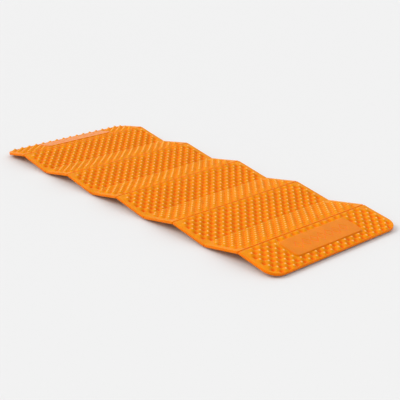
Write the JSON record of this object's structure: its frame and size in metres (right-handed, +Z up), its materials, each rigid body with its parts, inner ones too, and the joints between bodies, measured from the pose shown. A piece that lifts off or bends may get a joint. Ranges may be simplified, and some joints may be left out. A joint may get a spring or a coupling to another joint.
{
  "type": "folding foam sleeping pad",
  "caption": "Concertina-folding closed-cell foam sleeping pad: dimpled egg-crate panels joined by living-hinge folds, with a plain raised plate on each end panel.",
  "frame": {"origin": "centre of the pad's footprint on the ground, at the lowest point of its underside bumps", "axes": "+X across the pad, +Y along it from the near end to the far end, +Z up"},
  "size_m": [0.51, 1.3344, 0.0416],
  "materials": {
    "panel_foam": "matte closed-cell foam",
    "web_foam": "matte pressed foam",
    "plate_foam": "matte pressed foam"
  },
  "bodies": {
    "panel_01": {"panel_01": "panel_foam", "fold_web_1": "web_foam", "name_plate_near": "plate_foam"},
    "panel_02": {"panel_02": "panel_foam", "fold_web_2": "web_foam"},
    "panel_03": {"panel_03": "panel_foam", "fold_web_3": "web_foam"},
    "panel_04": {"panel_04": "panel_foam", "fold_web_4": "web_foam"},
    "panel_05": {"panel_05": "panel_foam", "fold_web_5": "web_foam"},
    "panel_06": {"panel_06": "panel_foam", "fold_web_6": "web_foam"},
    "panel_07": {"panel_07": "panel_foam", "fold_web_7": "web_foam"},
    "panel_08": {"panel_08": "panel_foam", "fold_web_8": "web_foam"},
    "panel_09": {"panel_09": "panel_foam", "fold_web_9": "web_foam"},
    "panel_10": {"panel_10": "panel_foam", "name_plate_far": "plate_foam"}
  },
  "joints": [
    {"name": "fold_1", "type": "hinge", "parent": "panel_02", "child": "panel_01", "pos_m": [0, -0.53431, 0.02809], "axis": [1, 0, 0], "range_deg": [-21, 159], "stiffness_Nm_per_rad": 0.25},
    {"name": "fold_2", "type": "hinge", "parent": "panel_03", "child": "panel_02", "pos_m": [0, -0.40074, 0.01351], "axis": [-1, 0, 0], "range_deg": [-21, 159], "stiffness_Nm_per_rad": 0.25},
    {"name": "fold_3", "type": "hinge", "parent": "panel_04", "child": "panel_03", "pos_m": [0, -0.26716, 0.02809], "axis": [1, 0, 0], "range_deg": [-21, 159], "stiffness_Nm_per_rad": 0.25},
    {"name": "fold_4", "type": "hinge", "parent": "panel_05", "child": "panel_04", "pos_m": [0, -0.13358, 0.01351], "axis": [-1, 0, 0], "range_deg": [-21, 159], "stiffness_Nm_per_rad": 0.25},
    {"name": "fold_5", "type": "hinge", "parent": "panel_05", "child": "panel_06", "pos_m": [0, 0, 0.02809], "axis": [-1, 0, 0], "range_deg": [-21, 159], "stiffness_Nm_per_rad": 0.25},
    {"name": "fold_6", "type": "hinge", "parent": "panel_06", "child": "panel_07", "pos_m": [0, 0.13358, 0.01351], "axis": [1, 0, 0], "range_deg": [-21, 159], "stiffness_Nm_per_rad": 0.25},
    {"name": "fold_7", "type": "hinge", "parent": "panel_07", "child": "panel_08", "pos_m": [0, 0.26716, 0.02809], "axis": [-1, 0, 0], "range_deg": [-21, 159], "stiffness_Nm_per_rad": 0.25},
    {"name": "fold_8", "type": "hinge", "parent": "panel_08", "child": "panel_09", "pos_m": [0, 0.40074, 0.01351], "axis": [1, 0, 0], "range_deg": [-21, 159], "stiffness_Nm_per_rad": 0.25},
    {"name": "fold_9", "type": "hinge", "parent": "panel_09", "child": "panel_10", "pos_m": [0, 0.53431, 0.02809], "axis": [-1, 0, 0], "range_deg": [-21, 159], "stiffness_Nm_per_rad": 0.25}
  ]
}
